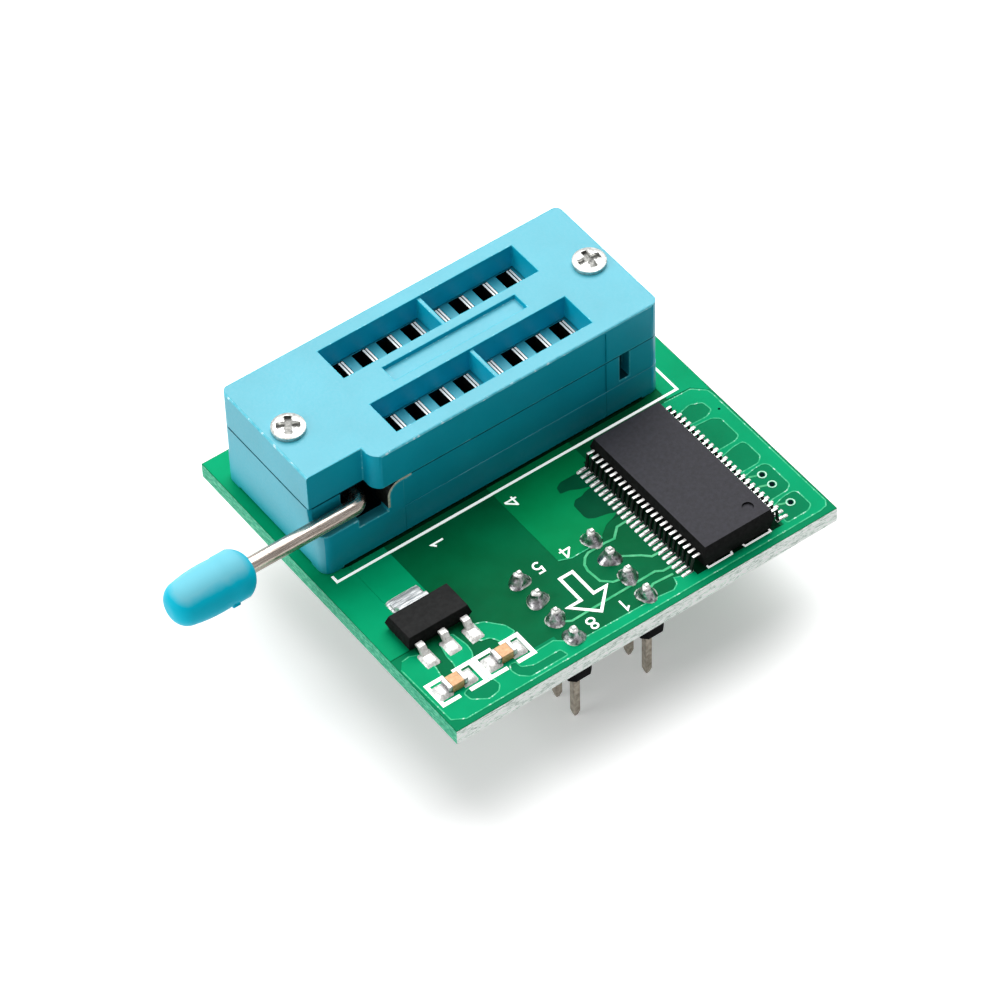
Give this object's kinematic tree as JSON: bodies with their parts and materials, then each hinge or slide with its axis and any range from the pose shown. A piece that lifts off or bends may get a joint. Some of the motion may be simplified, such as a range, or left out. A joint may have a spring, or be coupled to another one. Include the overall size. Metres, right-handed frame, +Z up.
{
  "type": "programmer voltage adapter",
  "caption": "Small green circuit board with a lever-operated chip socket, regulator and level shifter on top and a pin plug below, to sit between a programmer and a low-voltage chip.",
  "frame": {"origin": "centre of the eight plug pins, in the plane of the pin strips' undersides", "axes": "+Z up, out of the board's top; +X along the socket, away from the lever; +Y from the plug to the socket"},
  "size_m": [0.0538, 0.0371, 0.0216],
  "materials": {
    "board_laminate": "satin",
    "socket_plastic": "satin",
    "knob_plastic": "satin",
    "plated_steel": "satin",
    "contact_metal": "gloss",
    "pin_metal": "satin",
    "tinned_lead": "satin",
    "solder": "satin",
    "black_plastic": "matte",
    "chip_moulding": "matte",
    "ceramic": "matte"
  },
  "bodies": {
    "board": {"circuit_board": "board_laminate", "socket_base": "socket_plastic", "socket_cover": "socket_plastic", "cover_screws": "plated_steel", "lever_spring_strip": "plated_steel", "plug_insulator_left": "black_plastic", "plug_insulator_right": "black_plastic", "plug_solder": "solder", "contact_solder": "solder", "regulator_body": "chip_moulding", "regulator_leads": "tinned_lead", "regulator_tab": "tinned_lead", "shifter_body": "chip_moulding", "shifter_leads_left": "tinned_lead", "shifter_leads_right": "tinned_lead", "capacitor_1_body": "ceramic", "capacitor_2_body": "ceramic", "capacitor_1_ends": "tinned_lead", "capacitor_2_ends": "tinned_lead", "contact_back_1": "contact_metal", "contact_back_2": "contact_metal", "contact_back_3": "contact_metal", "contact_back_4": "contact_metal", "contact_back_5": "contact_metal", "contact_back_6": "contact_metal", "contact_back_7": "contact_metal", "contact_back_8": "contact_metal", "contact_front_1": "contact_metal", "contact_front_2": "contact_metal", "contact_front_3": "contact_metal", "contact_front_4": "contact_metal", "contact_front_5": "contact_metal", "contact_front_6": "contact_metal", "contact_front_7": "contact_metal", "contact_front_8": "contact_metal", "plug_pin_1": "pin_metal", "plug_pin_2": "pin_metal", "plug_pin_3": "pin_metal", "plug_pin_4": "pin_metal", "plug_pin_5": "pin_metal", "plug_pin_6": "pin_metal", "plug_pin_7": "pin_metal", "plug_pin_8": "pin_metal"},
    "lever": {"lever_rod": "plated_steel", "lever_knob": "knob_plastic"},
    "slider": {"socket_slider": "socket_plastic"}
  },
  "joints": [
    {"name": "lever_swing", "type": "hinge", "parent": "board", "child": "lever", "pos_m": [-0.01176, 0.02145, 0.00955], "axis": [0, 1, 0], "range_deg": [0, 90]},
    {"name": "slider_travel", "type": "slide", "parent": "board", "child": "slider", "axis": [1, 0, 0], "range_m": [0, 0.0008]}
  ],
  "couplings": [
    {"joint": "slider_travel", "follows": "lever_swing", "m_per_rad": 0.000509}
  ]
}
